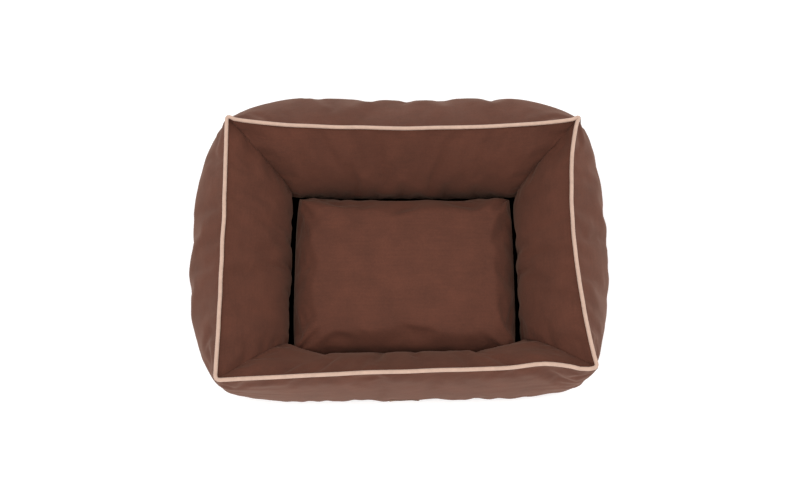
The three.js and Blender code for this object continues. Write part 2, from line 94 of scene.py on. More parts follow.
class PetBedWalls(bpy.types.PropertyGroup):
    """Shape of the stuffed walls."""

    piping_radius: FloatProperty(
        name="Piping radius", description="Half the thickness of the piping", default=2.75 * MM,
        min=1 * MM, unit="LENGTH")
    left_bow: FloatProperty(
        name="Left bow", description="How far the left ridge is drawn in at the middle",
        default=1 * MM, unit="LENGTH")
    right_bow: FloatProperty(
        name="Right bow", description="How far the right ridge is drawn in at its deepest",
        default=20 * MM, unit="LENGTH")
    back_bow: FloatProperty(
        name="Back bow", description="How far the back's ridge is drawn in at the middle",
        default=17 * MM, unit="LENGTH")
    front_dip: FloatProperty(
        name="Front dip", description="How far the middle of the front sags below its corners",
        default=20 * MM, unit="LENGTH")
    cloth_thickness: FloatProperty(
        name="Cloth thickness", description="Thickness of the cover's cloth", default=1.2 * MM,
        min=0.2 * MM, unit="LENGTH")
    slack: FloatProperty(
        name="Slack", description="Share by which the cloth is cut larger than its seams",
        default=0.035, min=0, max=0.2)
    pressure: FloatProperty(
        name="Pressure", description="How hard the filling presses on the cloth", default=3, min=0)
    cap: FloatProperty(
        name="Cap", description="Furthest that the simulation may move a point", default=14 * MM,
        unit="LENGTH")


class PetBedCushion(bpy.types.PropertyGroup):
    """Shape of the loose cushion."""

    overfill: FloatProperty(
        name="Overfill", description="How far the filling stands out past the cushion's cut",
        default=3 * MM, unit="LENGTH")
    corner_pull: FloatProperty(
        name="Corner pull", description="Share by which the corners are drawn in", default=0.025)
    slack: FloatProperty(
        name="Slack", description="Share by which the cloth is cut larger than its filling",
        default=0.03, min=0, max=0.2)
    pressure: FloatProperty(
        name="Pressure", description="How hard the filling presses on the cloth", default=3, min=0)
    cap: FloatProperty(
        name="Cap", description="Furthest that the simulation may move a point", default=9 * MM,
        unit="LENGTH")


class PetBedColours(bpy.types.PropertyGroup):
    """Colours, as sRGB."""

    suede: FloatVectorProperty(
        name="Suede", description="The cover's faux suede", subtype="COLOR_GAMMA", size=3,
        min=0, max=1, default=(0.345, 0.200, 0.150))
    tape: FloatVectorProperty(
        name="Bias tape", description="The piping's tape", subtype="COLOR_GAMMA", size=3,
        min=0, max=1, default=(0.760, 0.640, 0.570))
    label: FloatVectorProperty(
        name="Label", description="The label on the front", subtype="COLOR_GAMMA", size=3,
        min=0, max=1, default=(0.553, 0.424, 0.322))


class PetBedStudio(bpy.types.PropertyGroup):
    """Camera and light."""

    elevation: FloatProperty(
        name="Elevation", description="Angle of the camera above the horizon",
        default=math.radians(75), subtype="ANGLE")
    distance: FloatProperty(
        name="Distance", description="From the camera to the piping's middle", default=1.25,
        unit="LENGTH")
    lens: FloatProperty(
        name="Focal length", description="Of the camera's lens, in millimetres", default=41.04)
    light: FloatProperty(
        name="Light", description="Strength of the soft light all round", default=0.95, min=0)


# ---- Small helpers ----

def mix(a, b, t):
    return a + (b - a) * t


def linear(srgb):
    """An sRGB colour, as a hex string or three numbers from 0 to 1, as linear RGBA."""
    if isinstance(srgb, str):
        srgb = [int(srgb[i:i + 2], 16) / 255 for i in (1, 3, 5)]
    return [c / 12.92 if c <= 0.04045 else ((c + 0.055) / 1.055) ** 2.4 for c in srgb] + [1.0]


def shade(srgb, factor):
    return [min(1.0, c * factor) for c in srgb]


def finish_piece(name, mesh, body, material, smooth=True):
    """Links a mesh as a piece that rides on a body and takes its finish from a slot."""
    mesh.name = name
    piece = bpy.data.objects.new(name, mesh)
    bpy.context.scene.collection.objects.link(piece)
    mesh.materials.clear()
    mesh.materials.append(material)
    for polygon in mesh.polygons:
        polygon.use_smooth = smooth
        polygon.material_index = 0
    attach(piece, body)
    return piece


def evaluated(piece):
    """The piece's mesh with its modifiers applied."""
    graph = bpy.context.evaluated_depsgraph_get()
    return bpy.data.meshes.new_from_object(piece.evaluated_get(graph))


def baked(piece):
    """Applies a piece's modifiers."""
    mesh = evaluated(piece)
    old = piece.data
    piece.modifiers.clear()
    piece.data = mesh
    mesh.name = piece.name
    bpy.data.meshes.remove(old)
    return piece


def grid_box(cuts, place, cloth_size):
    """A cube split into a grid, each point moved to place(x, y, z) with x, y and z from 0 to 1.

    Keeps each face's side in a layer and lays out a cloth map in metres.
    """
    bm = bmesh.new()
    bmesh.ops.create_cube(bm, size=1)
    bmesh.ops.translate(bm, verts=bm.verts, vec=(0.5, 0.5, 0.5))
    for axis, count in enumerate(cuts):
        edges = [e for e in bm.edges if abs((e.verts[1].co - e.verts[0].co)[axis]) > 1e-6]
        if count:
            bmesh.ops.subdivide_edges(bm, edges=edges, cuts=count, use_grid_fill=True)
    sides = bm.faces.layers.int.new("side")
    cloth = bm.loops.layers.uv.new("cloth")
    for face in bm.faces:
        normal = face.normal if face.normal.length > 0.5 else face.calc_center_median()
        axis = max(range(3), key=lambda i: abs(normal[i]))
        face[sides] = 2 * axis + (1 if normal[axis] > 0 else 0)
        for loop in face.loops:
            loop[cloth].uv = [s * loop.vert.co[a] for s, a in cloth_size]
    for vert in bm.verts:
        vert.co = place(*vert.co)
    bm.normal_update()
    bmesh.ops.recalc_face_normals(bm, faces=bm.faces)
    return bm


def mesh_of(bm, name):
    mesh = bpy.data.meshes.new(name)
    bm.to_mesh(mesh)
    bm.free()
    return mesh


# ---- Cloth simulation ----

def stuffed(bm, name, pinned, pressure, slack, cap, frames=20, stiffness=12):
    """Presses a closed mesh out from inside, holding the pinned points, and gives the mesh back."""
    mesh = mesh_of(bm, name)
    body = bpy.data.objects.new(name, mesh)
    bpy.context.scene.collection.objects.link(body)
    group = body.vertex_groups.new(name="seams")
    for index, weight in pinned.items():
        group.add([index], weight, "REPLACE")
    before = [v.co.copy() for v in mesh.vertices]
    modifier = body.modifiers.new("Stuffing", "CLOTH")
    cloth = modifier.settings
    cloth.quality = 6
    cloth.mass = 0.3
    cloth.tension_stiffness = stiffness
    cloth.compression_stiffness = stiffness
    cloth.shear_stiffness = 5
    cloth.bending_stiffness = 0.4
    cloth.air_damping = 2
    cloth.vertex_group_mass = "seams"
    cloth.use_pressure = True
    cloth.uniform_pressure_force = pressure
    cloth.shrink_min = -slack
    cloth.effector_weights.gravity = 0
    modifier.collision_settings.use_collision = False
    modifier.point_cache.frame_start = 1
    modifier.point_cache.frame_end = frames
    scene = bpy.context.scene
    for number in range(1, frames + 1):
        scene.frame_set(number)
    graph = bpy.context.evaluated_depsgraph_get()
    after = body.evaluated_get(graph).to_mesh()
    moved = []
    for vertex, start in zip(after.vertices, before):
        step = vertex.co - start
        moved.append(start + step * min(1, cap / max(step.length, 1e-9)))
    if max((place - start).length for place, start in zip(moved, before)) < 0.1 * MM:
        raise RuntimeError(f"{name}: the simulation moved nothing")
    body.modifiers.clear()
    for vertex, place in zip(mesh.vertices, moved):
        vertex.co = place
    mesh.update()
    bpy.data.objects.remove(body)
    scene.frame_set(1)
    return mesh


def part_of(mesh, name, keep):
    """A copy of the faces whose side is in keep."""
    bm = bmesh.new()
    bm.from_mesh(mesh)
    sides = bm.faces.layers.int["side"]
    gone = [f for f in bm.faces if f[sides] not in keep]
    bmesh.ops.delete(bm, geom=gone, context="FACES")
    return mesh_of(bm, name)


def as_cloth(piece, thickness, levels=1):
    """Gives a surface its cloth thickness, inward, and smooths it."""
    smooth = piece.modifiers.new("Smooth", "SUBSURF")
    smooth.levels = smooth.render_levels = levels
    smooth.boundary_smooth = "PRESERVE_CORNERS"
    solid = piece.modifiers.new("Cloth", "SOLIDIFY")
    solid.thickness = thickness
    solid.offset = -1
    return baked(piece)


def shrunk(mesh, name, inset):
    """A copy drawn in along its normals, less where it is thin, for what lies inside a skin."""
    bm = bmesh.new()
    bm.from_mesh(mesh)
    bm.normal_update()
    tree = BVHTree.FromBMesh(bm)
    steps = []
    for vertex in bm.verts:
        inward = -vertex.normal
        across = tree.ray_cast(vertex.co + inward * 0.1 * MM, inward)[3] or 0
        steps.append((vertex, inward * min(inset, 0.4 * across)))
    for vertex, step in steps:
        vertex.co += step
    return mesh_of(bm, name)


def lay_behind_zip(mesh, name, reach):
    """Draws a skin level with the back of a zip's tapes, fading out past the zip's edges."""
    upper, lower = f"{name}_tape_upper", f"{name}_tape_lower"
    top, bottom = middle(upper), middle(lower)
    lean = (top[1] - bottom[1]) / (top[2] - bottom[2])
    half_x, half_z = high(upper)[0], (high(upper)[2] - low(lower)[2]) / 2
    centre_y, centre_z = (top[1] + bottom[1]) / 2, (top[2] + bottom[2]) / 2
    for vertex in mesh.vertices:
        x, y, z = vertex.co
        plane = centre_y + lean * (z - centre_z) - 1.3 * MM
        if y < plane - reach:
            continue
        past_x = max(0, abs(x) - half_x - 4 * MM) / (30 * MM)
        past_z = max(0, abs(z - centre_z) - half_z) / (16 * MM)
        weight = max(0, 1 - math.hypot(past_x, past_z))
        vertex.co.y = mix(y, plane, weight * weight * (3 - 2 * weight))


# ---- Walls ----

BULGE_SKEW = 0.85  # under 1 puts the fullest part of a wall below its mid height
BULGE_FALL = 2.2  # how sharply the stuffing falls away toward the corner seams
PIPING_TURN = 7 * MM  # how far from a corner the piping starts to round it
FILLING_INSET = 3 * MM  # between a wall's skin and its filling

# How far each corner of the ridge is pulled about by the stuffing, in plan: the back ones outward,
# the front right one back.
CORNER_DRIFT = [Vector((-4, 6)) * MM, Vector((1, 5)) * MM, Vector((6, 17)) * MM, Vector((-1, 0)) * MM]

# The bed's four corners, clockwise from the back left, as signs of x and y.
CORNERS = [(-1, 1), (1, 1), (1, -1), (-1, -1)]
WALLS = ["back", "right", "front", "left"]
NORMALS = {"back": Vector((0, 1)), "right": Vector((1, 0)), "front": Vector((0, -1)), "left": Vector((-1, 0))}


def ridge_corner(index):
    sign_x, sign_y = CORNERS[index]
    radius = 2 * MM
    x = high("piping_sleeve")[0] - radius
    y = high("piping_sleeve")[1] - radius if sign_y > 0 else low("piping_sleeve")[1] + radius
    return Vector((sign_x * x, y)) + CORNER_DRIFT[index]


def foot_corner(index, face):
    """Where a corner seam meets the base outside, or the floor of the well inside."""
    sign_x, sign_y = CORNERS[index]
    node = "base_panel" if face == "outer" else "floor_panel"
    in_x, in_back, in_front = (10, 7, 6) if face == "outer" else (-5, -5, 9)
    if face == "outer" and sign_y < 0:
        in_x, in_front = (34, 16) if sign_x > 0 else (24, 10)
    y = high(node)[1] - in_back * MM if sign_y > 0 else low(node)[1] + in_front * MM
    return Vector((sign_x * (high(node)[0] - in_x * MM), y))


def corner_push(index, face):
    """How far a corner seam is stuffed out of its straight line, as a vector in plan."""
    sign_x, sign_y = CORNERS[index]
    if face == "outer":
        return Vector((sign_x * 5, sign_y * (4 if sign_y > 0 else 2))) * MM
    return Vector((-sign_x * 34, -sign_y * (31 if sign_y > 0 else 32))) * MM


class WallShape:
    """One wall's surface, from its seams and how its middle is stuffed beyond them."""

    def __init__(self, name, settings):
        self.name = name
        self.index = WALLS.index(name)
        self.normal = NORMALS[name]
        self.ends = (self.index, (self.index + 1) % 4)
        side = name in ("left", "right")
        self.flat = {"back": 0.55, "front": 0.5}.get(name, 0.1)
        bows = {"back": settings.back_bow, "right": settings.right_bow, "front": 6 * MM,
                "left": settings.left_bow}
        self.bow = bows[name]
        # Where along the wall the bow is deepest, and how flat its bottom is.
        self.skew, self.flatness = {"back": (0.95, 0.45), "right": (0.8, 0.75)}.get(name, (1, 1))
        self.dip = settings.front_dip if name == "front" else 5 * MM
        self.foot = {"outer": {"back": 7, "front": 18}.get(name, 10) * MM,
                     "inner": {"back": -6, "front": 12}.get(name, -6) * MM}
        self.push = {"outer": {"back": 42, "front": 1, "right": 27}.get(name, 33) * MM,
                     "inner": {"back": 15, "front": 13}.get(name, 10) * MM}
        self.length = (ridge_corner(self.ends[1]) - ridge_corner(self.ends[0])).length
        self.side = side

    def fullness(self, u):
        past = max(0, abs(2 * u - 1) - self.flat) / (1 - self.flat)
        return 1 - past ** BULGE_FALL

    def ridge(self, u):
        a, b = (ridge_corner(i) for i in self.ends)
        arch = 4 * u * (1 - u)
        bow = self.bow * max(0, math.sin(math.pi * u ** self.skew)) ** self.flatness
        if self.name == "front":
            # Just short of its right end the front is drawn in and then flicks out to its corner.
            bow += 6 * MM * math.exp(-((u - 0.14) / 0.07) ** 2) - 3 * MM * math.exp(-((u - 0.035) / 0.025) ** 2)
        plan = a.lerp(b, u) - self.normal * bow
        top = TOP - 2 * MM - self.dip * arch
        wobble = 1.2 * MM * arch * noise.noise(Vector((9 * u, self.index, 0)))
        return Vector((plan.x, plan.y, top)) + Vector((self.normal.x, self.normal.y, 0.4)) * wobble

    def point(self, u, v, face):
        """u runs along the wall and v from its foot to its ridge."""
        ridge = self.ridge(u)
        a, b = (foot_corner(i, face) for i in self.ends)
        full = self.fullness(u)
        foot = a.lerp(b, u) + self.normal * self.foot[face] * full
        if face == "outer" and self.name in ("left", "right"):
            front = 1 - u if self.name == "right" else u
            foot += self.normal * 16 * MM * math.sin(math.pi * u) * (1 - front)
        p, q = (corner_push(i, face) for i in self.ends)
        push = p.lerp(q, u) + self.normal * self.push[face] * full
        bulge = math.sin(math.pi * v ** BULGE_SKEW)
        seam = 1.5 * MM * (1 if face == "outer" else -1) * (0.5 + 0.5 * min(1, 20 * u, 20 * (1 - u)))
        plan = foot.lerp(ridge.xy + self.normal * seam, v) + push * bulge
        plan += self.normal * self.pucker(u, v, face)
        bottom = SEAM if face == "outer" else FLOOR
        return Vector((plan.x, plan.y, mix(bottom, ridge.z - 3.2 * MM, v)))

    def pucker(self, u, v, face):
        """Gathers that fan out from the seams at the ridge, the foot and the mitred corners."""
        seed = self.index + (7 if face == "outer" else 0)
        gathers = noise.noise(Vector((u * self.length / (17 * MM), 2 * v, seed)))
        from_end = min(u, 1 - u) * self.length
        fan = noise.noise(Vector((from_end / (90 * MM), v * 0.19 / (16 * MM), seed + 3)))
        inside = min(1, 12 * v, 12 * (1 - v), from_end / (8 * MM))
        depth = 2.2 * MM * gathers * (v ** 5 + (1 - v) ** 4) + 4.5 * MM * fan * math.exp(-from_end / (45 * MM))
        return depth * max(0, inside)

    def cut(self, face, slack):
        """The flat size the cloth of one face is cut to: its height and its length."""
        def length(points):
            return sum((b - a).length for a, b in zip(points, points[1:]))

        steps = [i / 16 for i in range(17)]
        height = sum(length([self.point(u, v, face) for v in steps]) for u in (0.15, 0.5, 0.85)) / 3
        run = sum(length([self.point(u, v, face) for u in steps]) for v in (0.05, 0.35, 0.65, 0.95)) / 4
        return height * slack, run * slack


def wall_mesh(shape, settings):
    """The wall's stuffed skin: its outer and inner cloth, and the hidden ends and underside."""
    along = 76 if not shape.side else 60
    up = 25
    cuts = (3, up, along)
    crowd = 0.06

    def place(x, y, z):
        u = z - crowd * math.sin(2 * math.pi * z)
        outer = shape.point(u, y, "outer")
        inner = shape.point(u, y, "inner")
        return inner.lerp(outer, x)

    bm = grid_box(cuts, place, ((shape.length, 2), (0.19, 1)))
    bm.verts.index_update()
    sides = bm.faces.layers.int["side"]
    hidden = {v.index for f in bm.faces if f[sides] not in (0, 1) for v in f.verts}
    pinned = dict.fromkeys(hidden, 1.0)
    cap = settings.cap * (0.4 if shape.name == "front" else 1)
    return stuffed(bm, f"wall_{shape.name}", pinned, settings.pressure, settings.slack, cap)


# ---- Materials ----

def node(tree, kind, values=None, links=None, **settings):
    """Adds a node with its settings, input values and links."""
    made = tree.nodes.new(kind)
    for key, value in settings.items():
        setattr(made, key, value)
    for key, value in (values or {}).items():
        made.inputs[key].default_value = value
    for key, source in (links or {}).items():
        tree.links.new(source, made.inputs[key])
    return made


def new_material(name, **constants):
    """A material with a Principled shader whose constants are set on its own sockets."""
    material = bpy.data.materials.new(name)
    material.use_nodes = True
    tree = material.node_tree
    shader = tree.nodes["Principled BSDF"]
    for key, value in constants.items():
        shader.inputs[key.replace("_", " ")].default_value = value
    return material, tree, shader


def ramp(tree, factor, stops):
    made = node(tree, "ShaderNodeValToRGB", links={"Fac": factor})
    elements = made.color_ramp.elements
    elements[0].position, elements[0].color = stops[0]
    elements[1].position, elements[1].color = stops[-1]
    for position, colour in stops[1:-1]:
        elements.new(position).color = colour
    return made


def faux_suede(name, colour):
    """Brushed polyester faux suede: matt, softly mottled where the nap lies in different ways."""
    material, tree, shader = new_material(
        name, Roughness=0.9, Sheen_Weight=0.22, Sheen_Roughness=0.45, Specular_IOR_Level=0.25,
        Sheen_Tint=linear("#c9a790"))
    cloth = node(tree, "ShaderNodeUVMap", uv_map="cloth").outputs["UV"]
    solid = node(tree, "ShaderNodeTexCoord").outputs["Object"]
    mottle = node(tree, "ShaderNodeTexNoise", {"Scale": 1 / (45 * MM), "Detail": 5, "Roughness": 0.6},
                  {"Vector": solid})
    streak = node(tree, "ShaderNodeMapping", {"Scale": (1 / (30 * MM), 1 / (2.2 * MM), 1)}, {"Vector": cloth})
    slub = node(tree, "ShaderNodeTexNoise", {"Scale": 1, "Detail": 3}, {"Vector": streak.outputs[0]})
    nap = node(tree, "ShaderNodeTexNoise", {"Scale": 1 / (2.4 * MM), "Detail": 4, "Roughness": 0.65},
               {"Vector": solid})
    both = node(tree, "ShaderNodeMix", {"Factor": 0.3}, {"A": mottle.outputs[0], "B": slub.outputs[0]})
    tone = node(tree, "ShaderNodeMix", {"Factor": 0.35}, {"A": both.outputs[0], "B": nap.outputs[0]})
    colours = ramp(tree, tone.outputs[0], [
        (0.30, linear(shade(colour, 0.86))),
        (0.50, linear(colour)),
        (0.70, linear(shade(colour, 1.13))),
    ])
    tree.links.new(colours.outputs[0], shader.inputs["Base Color"])
    # The twill under the nap is about 0.6 mm a rib, drawn at 1.6 mm so that it shows.
    rib = node(tree, "ShaderNodeTexWave", {"Scale": 1 / (1.6 * MM) / 20, "Distortion": 1.5, "Detail": 2},
               {"Vector": cloth}, bands_direction="DIAGONAL")
    relief = node(tree, "ShaderNodeMix", {"Factor": 0.75}, {"A": rib.outputs[1], "B": nap.outputs[0]})
    fine = node(tree, "ShaderNodeBump", {"Strength": 0.35, "Distance": 0.35 * MM},
                {"Height": relief.outputs[0]})
    dimple = node(tree, "ShaderNodeTexNoise", {"Scale": 1 / (28 * MM), "Detail": 2}, {"Vector": solid})
    soft = node(tree, "ShaderNodeBump", {"Strength": 0.5, "Distance": 1.6 * MM},
                {"Height": dimple.outputs[0], "Normal": fine.outputs[0]})
    tree.links.new(soft.outputs[0], shader.inputs["Normal"])
    return material


def bias_tape(name, colour):
    """Cotton bias tape: a fine plain weave that runs slantwise, a little soiled in its creases."""
    material, tree, shader = new_material(
        name, Roughness=0.85, Sheen_Weight=0.15, Sheen_Roughness=0.5, Specular_IOR_Level=0.3)
    solid = node(tree, "ShaderNodeTexCoord").outputs["Object"]
    turn = node(tree, "ShaderNodeMapping", {"Rotation": (0, 0, math.radians(45))}, {"Vector": solid})
    warp = node(tree, "ShaderNodeTexWave", {"Scale": 1 / (1.1 * MM) / 20}, {"Vector": turn.outputs[0]},
                bands_direction="X")
    weft = node(tree, "ShaderNodeTexWave", {"Scale": 1 / (1.1 * MM) / 20}, {"Vector": turn.outputs[0]},
                bands_direction="Y")
    weave = node(tree, "ShaderNodeMath", links={0: warp.outputs[1], 1: weft.outputs[1]}, operation="MULTIPLY")
    patch = node(tree, "ShaderNodeTexNoise", {"Scale": 1 / (12 * MM), "Detail": 4}, {"Vector": solid})
    tone = node(tree, "ShaderNodeMix", {"Factor": 0.15}, {"A": patch.outputs[0], "B": weave.outputs[0]})
    colours = ramp(tree, tone.outputs[0], [
        (0.2, linear(shade(colour, 0.95))), (0.7, linear(shade(colour, 1.03)))])
    tree.links.new(colours.outputs[0], shader.inputs["Base Color"])
    bump = node(tree, "ShaderNodeBump", {"Strength": 0.4, "Distance": 0.2 * MM}, {"Height": weave.outputs[0]})
    tree.links.new(bump.outputs[0], shader.inputs["Normal"])
    return material


def woven(name, colour, thread, roughness=0.85, depth=0.2):
    """A plain woven cloth or tape: crossing threads that show as a fine grid."""
    material, tree, shader = new_material(name, Roughness=roughness, Specular_IOR_Level=0.3)
    solid = node(tree, "ShaderNodeTexCoord").outputs["Object"]
    threads = [
        node(tree, "ShaderNodeTexWave", {"Scale": 1 / (thread * MM) / 20}, {"Vector": solid},
             bands_direction=way).outputs[1]
        for way in ("X", "Z", "Y")
    ]
    across = node(tree, "ShaderNodeMath", links={0: threads[1], 1: threads[2]}, operation="MAXIMUM")
    weave = node(tree, "ShaderNodeMath", links={0: threads[0], 1: across.outputs[0]}, operation="MULTIPLY")
    patch = node(tree, "ShaderNodeTexNoise", {"Scale": 1 / (15 * MM), "Detail": 4}, {"Vector": solid})
    tone = node(tree, "ShaderNodeMix", {"Factor": 0.4}, {"A": patch.outputs[0], "B": weave.outputs[0]})
    colours = ramp(tree, tone.outputs[0], [
        (0.2, linear(shade(colour, 0.84))), (0.75, linear(shade(colour, 1.1)))])
    tree.links.new(colours.outputs[0], shader.inputs["Base Color"])
    bump = node(tree, "ShaderNodeBump", {"Strength": 0.6, "Distance": depth * MM}, {"Height": weave.outputs[0]})
    tree.links.new(bump.outputs[0], shader.inputs["Normal"])
    return material


def fibre_wadding(name):
    """Polyester fibre: white, matt and faintly stringy."""
    material, tree, shader = new_material(name, Roughness=1.0, Sheen_Weight=0.3, Specular_IOR_Level=0.1)
    solid = node(tree, "ShaderNodeTexCoord").outputs["Object"]
    stretch = node(tree, "ShaderNodeMapping", {"Scale": (80, 400, 240)}, {"Vector": solid})
    fibres = node(tree, "ShaderNodeTexNoise", {"Scale": 1, "Detail": 6, "Distortion": 1.5},
                  {"Vector": stretch.outputs[0]})
    colours = ramp(tree, fibres.outputs[0], [(0.3, linear("#dcd8ce")), (0.7, linear("#f6f4ee"))])
    tree.links.new(colours.outputs[0], shader.inputs["Base Color"])
    bump = node(tree, "ShaderNodeBump", {"Strength": 0.6, "Distance": 1 * MM}, {"Height": fibres.outputs[0]})
    tree.links.new(bump.outputs[0], shader.inputs["Normal"])
    return material


def nickel_plate(name):
    """Tumbled nickel plate on zinc: dull, faintly scratched, darker where it's handled less."""
    material, tree, shader = new_material(name, Metallic=1.0, Roughness=0.34)
    solid = node(tree, "ShaderNodeTexCoord").outputs["Object"]
    wear = node(tree, "ShaderNodeTexNoise", {"Scale": 1 / (1.5 * MM), "Detail": 5}, {"Vector": solid})
    colours = ramp(tree, wear.outputs[0], [(0.35, linear("#7d7870")), (0.65, linear("#a9a49b"))])
    tree.links.new(colours.outputs[0], shader.inputs["Base Color"])
    rough = node(tree, "ShaderNodeMapRange", {"To Min": 0.26, "To Max": 0.46}, {"Value": wear.outputs[0]})
    tree.links.new(rough.outputs[0], shader.inputs["Roughness"])
    bump = node(tree, "ShaderNodeBump", {"Strength": 0.2, "Distance": 0.05 * MM}, {"Height": wear.outputs[0]})
    tree.links.new(bump.outputs[0], shader.inputs["Normal"])
    return material


def moulded_acetal(name):
    """Moulded acetal zip teeth: smooth, slightly glossy, dark brown."""
    material, tree, shader = new_material(name, Roughness=0.38, Specular_IOR_Level=0.5)
    solid = node(tree, "ShaderNodeTexCoord").outputs["Object"]
    grain = node(tree, "ShaderNodeTexNoise", {"Scale": 1 / (0.8 * MM), "Detail": 3}, {"Vector": solid})
    colours = ramp(tree, grain.outputs[0], [(0.3, linear("#33211b")), (0.7, linear("#463027"))])
    tree.links.new(colours.outputs[0], shader.inputs["Base Color"])
    return material


def non_slip_cloth(name):
    """Non-slip backing: dark felted cloth with small raised rubber dots 6 mm apart."""
    material, tree, shader = new_material(name, Roughness=0.9, Specular_IOR_Level=0.3)
    solid = node(tree, "ShaderNodeTexCoord").outputs["Object"]
    dots = node(tree, "ShaderNodeTexVoronoi", {"Scale": 1 / (6 * MM), "Randomness": 0.0}, {"Vector": solid},
                voronoi_dimensions="2D")
    dot = ramp(tree, dots.outputs["Distance"], [(0.20, (1, 1, 1, 1)), (0.26, (0, 0, 0, 1))])
    felt = node(tree, "ShaderNodeTexNoise", {"Scale": 1 / (1.2 * MM), "Detail": 5}, {"Vector": solid})
    ground = ramp(tree, felt.outputs[0], [(0.3, linear("#272120")), (0.7, linear("#3a3230"))])
    colour = node(tree, "ShaderNodeMix", links={"Factor": dot.outputs[0]}, data_type="RGBA")
    colour.inputs[7].default_value = linear("#151313")
    tree.links.new(ground.outputs[0], colour.inputs[6])
    tree.links.new(colour.outputs[2], shader.inputs["Base Color"])
    bump = node(tree, "ShaderNodeBump", {"Strength": 0.7, "Distance": 0.5 * MM}, {"Height": dot.outputs[0]})
    tree.links.new(bump.outputs[0], shader.inputs["Normal"])
    return material


MATERIALS = {}


def material(key):
    """Each finish is made once."""
    colours = bpy.context.scene.pet_bed_colours
    makers = {
        "suede": lambda: faux_suede("faux_suede", colours.suede),
        "tape": lambda: bias_tape("cotton_bias_tape", colours.tape),
        "lining": lambda: woven("plain_lining", (0.294, 0.2, 0.169), 1.4),
        "zip_tape": lambda: woven("woven_zip_tape", (0.29, 0.19, 0.165), 0.9),
        "label": lambda: woven("woven_label", colours.label, 0.9, roughness=0.7),
        "care_label": lambda: woven("satin_care_label", (0.93, 0.92, 0.9), 0.8, roughness=0.45),
        "cord": lambda: woven("twisted_filler_cord", (0.9, 0.88, 0.83), 1.2),
        "wadding": lambda: fibre_wadding("polyester_fibre"),
        "nickel": lambda: nickel_plate("nickel_plate"),
        "zip_teeth": lambda: moulded_acetal("moulded_acetal"),
        "underside": lambda: non_slip_cloth("non_slip_backing"),
    }
    if key not in MATERIALS:
        MATERIALS[key] = makers[key]()
    return MATERIALS[key]


# ---- Operators ----

class PETBED_OT_walls(bpy.types.Operator):
    """Build the four stuffed walls: filling, inner and outer cloth"""

    bl_idname = "petbed.walls"
    bl_label = "Walls"

    def execute(self, context):
        settings = context.scene.pet_bed_walls
        for name in WALLS:
            shape = WallShape(name, settings)
            skin = wall_mesh(shape, settings)
            if name == "back":
                lay_behind_zip(skin, "cover_zip", 30 * MM)
            for face, side in (("inner", 0), ("outer", 1)):
                piece = finish_piece(
                    f"{face}_cloth_{name}", part_of(skin, "part", {side}), "bed", material("suede"))
                as_cloth(piece, settings.cloth_thickness)
                nodes = [f"{face}_panel_{name}"]
                if (face, name) == ("outer", "back"):
                    nodes.append("outer_band_back")
                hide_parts(*nodes)
                flat = shape.cut(face, 1 + settings.slack)
            filling = finish_piece(
                f"filling_{name}", shrunk(skin, "part", FILLING_INSET), "bed", material("wadding"))
            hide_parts(f"wall_fill_{name}")
        return {"FINISHED"}


def ridge_loop(settings, steps=44):
    """Points round the whole ridge, with small rounded corners."""
    points = []
    for name in WALLS:
        shape = WallShape(name, settings)
        following = WallShape(WALLS[(WALLS.index(name) + 1) % 4], settings)
        run = [shape.ridge(i / steps) for i in range(1, steps)]
        corner, before, after = shape.ridge(1), run[-1], following.ridge(1 / steps)
        start = corner + (before - corner).normalized() * PIPING_TURN
        end = corner + (after - corner).normalized() * PIPING_TURN
        turn = [start.lerp(corner, t).lerp(corner.lerp(end, t), t) for t in (0, 0.25, 0.5, 0.75, 1)]
        points += run + turn
    return points


def tube(name, points, radius, sides=12):
    """A closed tube through points, as a mesh."""
    curve = bpy.data.curves.new(name, "CURVE")
    curve.dimensions = "3D"
    curve.bevel_depth = radius
    curve.bevel_resolution = sides // 4
    spline = curve.splines.new("POLY")
    spline.points.add(len(points) - 1)
    for target, place in zip(spline.points, points):
        target.co = (*place, 1)
    spline.use_cyclic_u = True
    holder = bpy.data.objects.new(name, curve)
    bpy.context.scene.collection.objects.link(holder)
    mesh = evaluated(holder)
    bpy.data.objects.remove(holder)
    bpy.data.curves.remove(curve)
    return mesh


def sheet_on_feet(settings, face, inset, bottom, thickness):
    """A flat panel that ends at the foot of every wall."""
    steps = 40
    rim = []
    for name in WALLS:
        shape = WallShape(name, settings)
        rim += [shape.point(i / steps, 0, face).xy for i in range(steps)]
    centre = sum(rim, Vector((0, 0))) / len(rim)
    bm = bmesh.new()
    rings = []
    for share in (1.0, 0.97, 0.8, 0.5, 0.2):
        rings.append([
            bm.verts.new((*(centre + (p - centre) * (share - inset / (p - centre).length)), bottom)) for p in rim])
    for outer, inner in zip(rings, rings[1:]):
        for i in range(len(rim)):
            following = (i + 1) % len(rim)
            bm.faces.new((outer[i], outer[following], inner[following], inner[i]))
    bm.faces.new(rings[-1])
    bmesh.ops.solidify(bm, geom=bm.faces[:], thickness=-thickness)
    bm.normal_update()
    bmesh.ops.recalc_face_normals(bm, faces=bm.faces)
    return mesh_of(bm, "sheet")


class PETBED_OT_base(bpy.types.Operator):
    """Build the base: its non-slip underside, the pad on it and the floor of the well"""

    bl_idname = "petbed.base"
    bl_label = "Base"

    def execute(self, context):
        settings = context.scene.pet_bed_walls
        for name, face, inset, slot in (
            ("base_panel", "outer", 0, "underside"),
            ("base_pad", "outer", 6 * MM, "wadding"),
            ("floor_panel", "inner", -2 * MM, "lining"),
        ):
            bottom, top = low(name)[2], high(name)[2]
            mesh = sheet_on_feet(settings, face, inset, bottom, top - bottom)
            piece = finish_piece(f"{name}_cloth", mesh, "bed", material(slot), smooth=False)
            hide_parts(name)
            if slot == "wadding":
                continue
        return {"FINISHED"}


